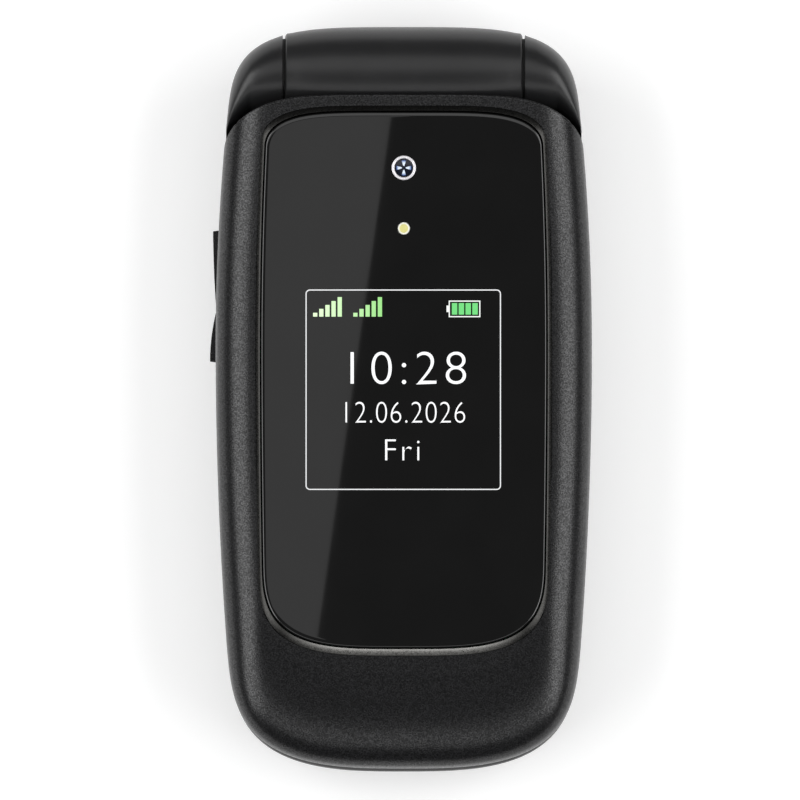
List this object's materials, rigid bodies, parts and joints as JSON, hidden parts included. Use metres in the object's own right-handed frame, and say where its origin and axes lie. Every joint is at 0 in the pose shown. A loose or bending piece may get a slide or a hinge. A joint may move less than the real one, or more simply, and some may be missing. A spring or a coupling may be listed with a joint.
{
  "type": "flip phone",
  "caption": "Closed clamshell phone with a glossy window, camera and small display in its lid, a hinge barrel between two knuckles, a keypad inside and a volume rocker.",
  "frame": {"origin": "centre of the flat back face, on the battery cover, with the phone lying closed on its back", "axes": "+Y towards the hinge end, along the length; +X towards the right side seen from the lid; +Z from the back to the lid"},
  "size_m": [0.0539, 0.1051, 0.0192],
  "materials": {
    "satin_black": "satin, fine grain",
    "gloss_black": "gloss",
    "bright_trim": "polished bevel",
    "window_black": "mirror gloss, black print behind",
    "display_module": "dark glass",
    "lens_glass": "coated glass",
    "module_black": "matte",
    "lamp_yellow": "phosphor under a clear dome",
    "mesh_grey": "woven",
    "board_green": "solder mask",
    "magnet_grey": "nickel",
    "rubber_black": "matte",
    "steel": "bright",
    "brass": "bright",
    "flex_amber": "film",
    "battery_wrap": "plain wrap",
    "dome_film": "film",
    "nav_silver": "satin silver",
    "key_green": "satin",
    "key_red": "satin",
    "key_grey": "satin"
  },
  "bodies": {
    "base": {"front_housing": "gloss_black", "rear_housing": "satin_black", "battery": "battery_wrap", "battery_contacts": "brass", "main_board": "board_green", "dome_sheet": "dome_film", "side_switches": "steel", "usb_socket": "steel", "headset_jack": "module_black", "loudspeaker": "module_black", "speaker_mesh": "mesh_grey", "sim_holder": "steel", "vibration_motor": "steel", "microphone": "steel", "case_screws": "steel", "hinge_cam_shaft": "steel", "hinge_pin": "brass"},
    "lid": {"lid_cover": "satin_black", "lens_trim": "bright_trim", "lid_lens": "window_black", "outer_display": "display_module", "camera_ring": "bright_trim", "camera_lens": "lens_glass", "camera_module": "module_black", "flash_led": "lamp_yellow", "lid_inner_frame": "gloss_black", "inner_lens": "window_black", "inner_display": "display_module", "earpiece": "module_black", "earpiece_mesh": "mesh_grey", "lid_board": "board_green", "lid_magnet": "magnet_grey", "lid_bumpers": "rubber_black", "lid_screws": "steel", "hinge_cartridge": "steel", "hinge_flex": "flex_amber"},
    "battery_cover": {"battery_cover": "satin_black"},
    "volume_rocker": {"volume_rocker": "satin_black"},
    "key_1": {"key_1": "key_grey"},
    "key_2": {"key_2": "key_grey"},
    "key_3": {"key_3": "key_grey"},
    "key_4": {"key_4": "key_grey"},
    "key_5": {"key_5": "key_grey"},
    "key_6": {"key_6": "key_grey"},
    "key_7": {"key_7": "key_grey"},
    "key_8": {"key_8": "key_grey"},
    "key_9": {"key_9": "key_grey"},
    "key_star": {"key_star": "key_grey"},
    "key_0": {"key_0": "key_grey"},
    "key_hash": {"key_hash": "key_grey"},
    "nav_ring": {"nav_ring": "nav_silver"},
    "ok_key": {"ok_key": "nav_silver"},
    "soft_left_key": {"soft_left_key": "key_grey"},
    "soft_right_key": {"soft_right_key": "key_grey"},
    "call_key": {"call_key": "key_green"},
    "end_key": {"end_key": "key_red"}
  },
  "joints": [
    {"name": "lid_hinge", "type": "hinge", "parent": "base", "child": "lid", "pos_m": [0, 0.046, 0.012], "axis": [-1, 0, 0], "range_deg": [0, 160]},
    {"name": "battery_cover_release", "type": "slide", "parent": "base", "child": "battery_cover", "axis": [0, 0, -1], "range_m": [0, 0.008]},
    {"name": "volume_rocker_tilt", "type": "hinge", "parent": "base", "child": "volume_rocker", "pos_m": [-0.0256, 0.01455, 0.0075], "axis": [0, 0, 1], "range_deg": [-1.6, 1.6], "stiffness_Nm_per_rad": 0.05},
    {"name": "key_1_press", "type": "slide", "parent": "base", "child": "key_1", "axis": [0, 0, -1], "range_m": [0, 0.0004], "stiffness_N_per_m": 200, "springref_m": -0.0005},
    {"name": "key_2_press", "type": "slide", "parent": "base", "child": "key_2", "axis": [0, 0, -1], "range_m": [0, 0.0004], "stiffness_N_per_m": 200, "springref_m": -0.0005},
    {"name": "key_3_press", "type": "slide", "parent": "base", "child": "key_3", "axis": [0, 0, -1], "range_m": [0, 0.0004], "stiffness_N_per_m": 200, "springref_m": -0.0005},
    {"name": "key_4_press", "type": "slide", "parent": "base", "child": "key_4", "axis": [0, 0, -1], "range_m": [0, 0.0004], "stiffness_N_per_m": 200, "springref_m": -0.0005},
    {"name": "key_5_press", "type": "slide", "parent": "base", "child": "key_5", "axis": [0, 0, -1], "range_m": [0, 0.0004], "stiffness_N_per_m": 200, "springref_m": -0.0005},
    {"name": "key_6_press", "type": "slide", "parent": "base", "child": "key_6", "axis": [0, 0, -1], "range_m": [0, 0.0004], "stiffness_N_per_m": 200, "springref_m": -0.0005},
    {"name": "key_7_press", "type": "slide", "parent": "base", "child": "key_7", "axis": [0, 0, -1], "range_m": [0, 0.0004], "stiffness_N_per_m": 200, "springref_m": -0.0005},
    {"name": "key_8_press", "type": "slide", "parent": "base", "child": "key_8", "axis": [0, 0, -1], "range_m": [0, 0.0004], "stiffness_N_per_m": 200, "springref_m": -0.0005},
    {"name": "key_9_press", "type": "slide", "parent": "base", "child": "key_9", "axis": [0, 0, -1], "range_m": [0, 0.0004], "stiffness_N_per_m": 200, "springref_m": -0.0005},
    {"name": "key_star_press", "type": "slide", "parent": "base", "child": "key_star", "axis": [0, 0, -1], "range_m": [0, 0.0004], "stiffness_N_per_m": 200, "springref_m": -0.0005},
    {"name": "key_0_press", "type": "slide", "parent": "base", "child": "key_0", "axis": [0, 0, -1], "range_m": [0, 0.0004], "stiffness_N_per_m": 200, "springref_m": -0.0005},
    {"name": "key_hash_press", "type": "slide", "parent": "base", "child": "key_hash", "axis": [0, 0, -1], "range_m": [0, 0.0004], "stiffness_N_per_m": 200, "springref_m": -0.0005},
    {"name": "nav_ring_press", "type": "slide", "parent": "base", "child": "nav_ring", "axis": [0, 0, -1], "range_m": [0, 0.0004], "stiffness_N_per_m": 200, "springref_m": -0.0005},
    {"name": "ok_key_press", "type": "slide", "parent": "base", "child": "ok_key", "axis": [0, 0, -1], "range_m": [0, 0.0004], "stiffness_N_per_m": 200, "springref_m": -0.0005},
    {"name": "soft_left_key_press", "type": "slide", "parent": "base", "child": "soft_left_key", "axis": [0, 0, -1], "range_m": [0, 0.0004], "stiffness_N_per_m": 200, "springref_m": -0.0005},
    {"name": "soft_right_key_press", "type": "slide", "parent": "base", "child": "soft_right_key", "axis": [0, 0, -1], "range_m": [0, 0.0004], "stiffness_N_per_m": 200, "springref_m": -0.0005},
    {"name": "call_key_press", "type": "slide", "parent": "base", "child": "call_key", "axis": [0, 0, -1], "range_m": [0, 0.0004], "stiffness_N_per_m": 200, "springref_m": -0.0005},
    {"name": "end_key_press", "type": "slide", "parent": "base", "child": "end_key", "axis": [0, 0, -1], "range_m": [0, 0.0004], "stiffness_N_per_m": 200, "springref_m": -0.0005}
  ]
}
